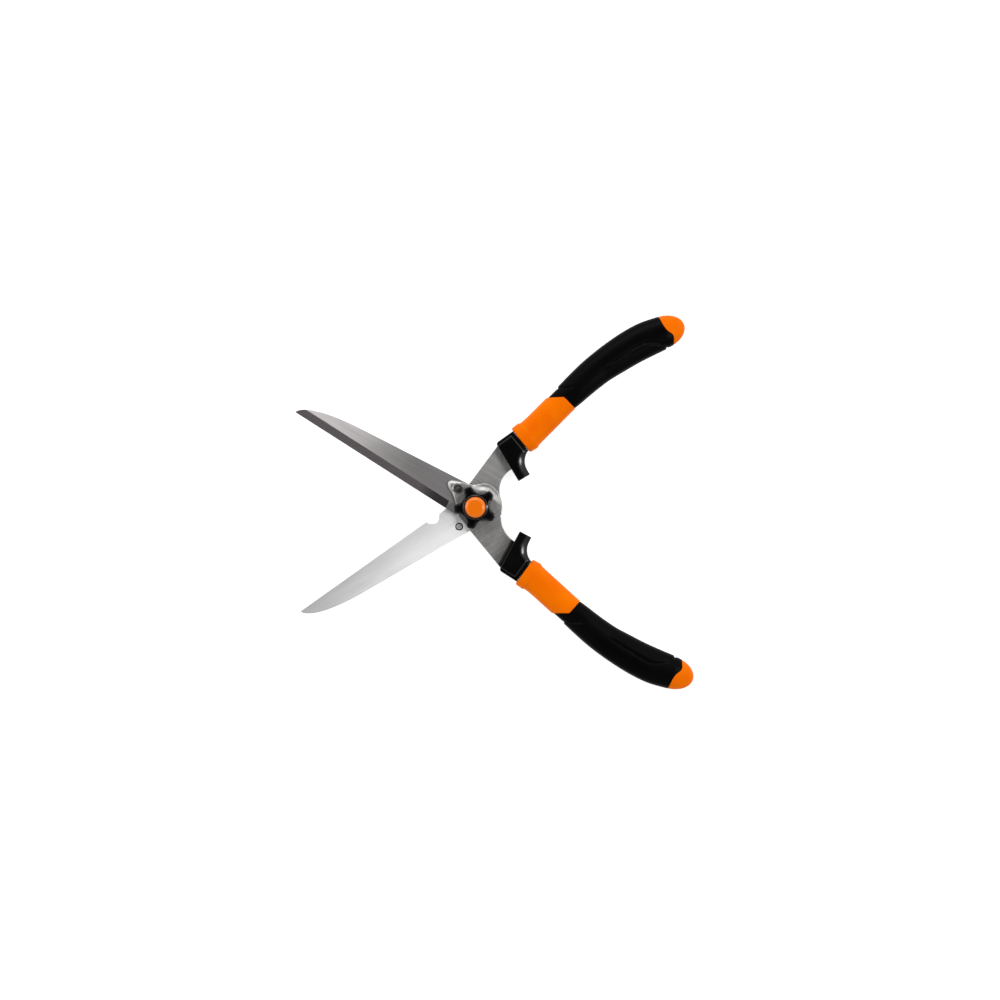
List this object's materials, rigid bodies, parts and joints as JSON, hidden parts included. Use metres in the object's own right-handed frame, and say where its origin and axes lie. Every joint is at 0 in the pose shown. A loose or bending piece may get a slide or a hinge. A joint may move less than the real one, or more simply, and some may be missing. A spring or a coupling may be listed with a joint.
{
  "type": "grass shears",
  "caption": "Two-handed garden shears: straight pointed blades on a pivot bolt with a star tension knob, and curved soft-grip handles with bumpers.",
  "frame": {"origin": "on the pivot axis, at the flat of the pivot bolt's head, the plane that the shears lie on", "axes": "+X from the pivot to the handle ends along the shears' line of symmetry, -X to the blade tips, +Z along the pivot axis to the star knob, +Y to the rear lever's handle"},
  "size_m": [0.47, 0.4492, 0.0388],
  "materials": {
    "rear_blade": "bright ground steel with fine grain along the blade",
    "front_blade": "ground steel with a darker ground bevel",
    "rear_tang": "satin pressed steel plate",
    "front_tang": "satin pressed steel plate with a rounded rim",
    "rear_rivet": "flush steel rivet",
    "front_rivet": "low steel rivet head",
    "rear_bumper": "glossy black moulded plastic",
    "front_bumper": "glossy black moulded plastic",
    "rear_handle_core": "satin orange moulded plastic",
    "front_handle_core": "satin orange moulded plastic",
    "rear_grip": "matt black soft overmould",
    "front_grip": "matt black soft overmould",
    "rear_handle_pin": "zinc-plated steel",
    "front_handle_pin": "zinc-plated steel",
    "pivot_bolt": "zinc-plated steel",
    "pivot_bush": "turned steel",
    "plain_washer": "zinc-plated steel",
    "spring_washer": "dished spring steel",
    "star_knob": "glossy black moulded plastic",
    "knob_nut": "zinc-plated steel",
    "knob_cap": "glossy orange moulded plastic"
  },
  "bodies": {
    "rear_lever": {"rear_blade": "rear_blade", "rear_tang": "rear_tang", "rear_rivet": "rear_rivet", "rear_bumper": "rear_bumper", "rear_handle_core": "rear_handle_core", "rear_grip": "rear_grip", "rear_handle_pin": "rear_handle_pin", "pivot_bolt": "pivot_bolt", "pivot_bush": "pivot_bush", "plain_washer": "plain_washer"},
    "front_lever": {"front_blade": "front_blade", "front_tang": "front_tang", "front_rivet": "front_rivet", "front_bumper": "front_bumper", "front_handle_core": "front_handle_core", "front_grip": "front_grip", "front_handle_pin": "front_handle_pin"},
    "knob_washer": {"spring_washer": "spring_washer"},
    "knob": {"star_knob": "star_knob", "knob_nut": "knob_nut", "knob_cap": "knob_cap"}
  },
  "joints": [
    {"name": "blade_pivot", "type": "hinge", "parent": "rear_lever", "child": "front_lever", "pos_m": [0, 0, 0.013], "axis": [0, 0, 1], "range_deg": [-20, 59]},
    {"name": "knob_turn", "type": "hinge", "parent": "rear_lever", "child": "knob_washer", "pos_m": [0, 0, 0.025], "axis": [0, 0, 1], "range_deg": [0, 360]},
    {"name": "knob_lift", "type": "slide", "parent": "knob_washer", "child": "knob", "axis": [0, 0, 1], "range_m": [0, 0.00125]}
  ],
  "couplings": [
    {"joint": "knob_turn", "follows": "knob_lift", "rad_per_m": 5026.5}
  ]
}
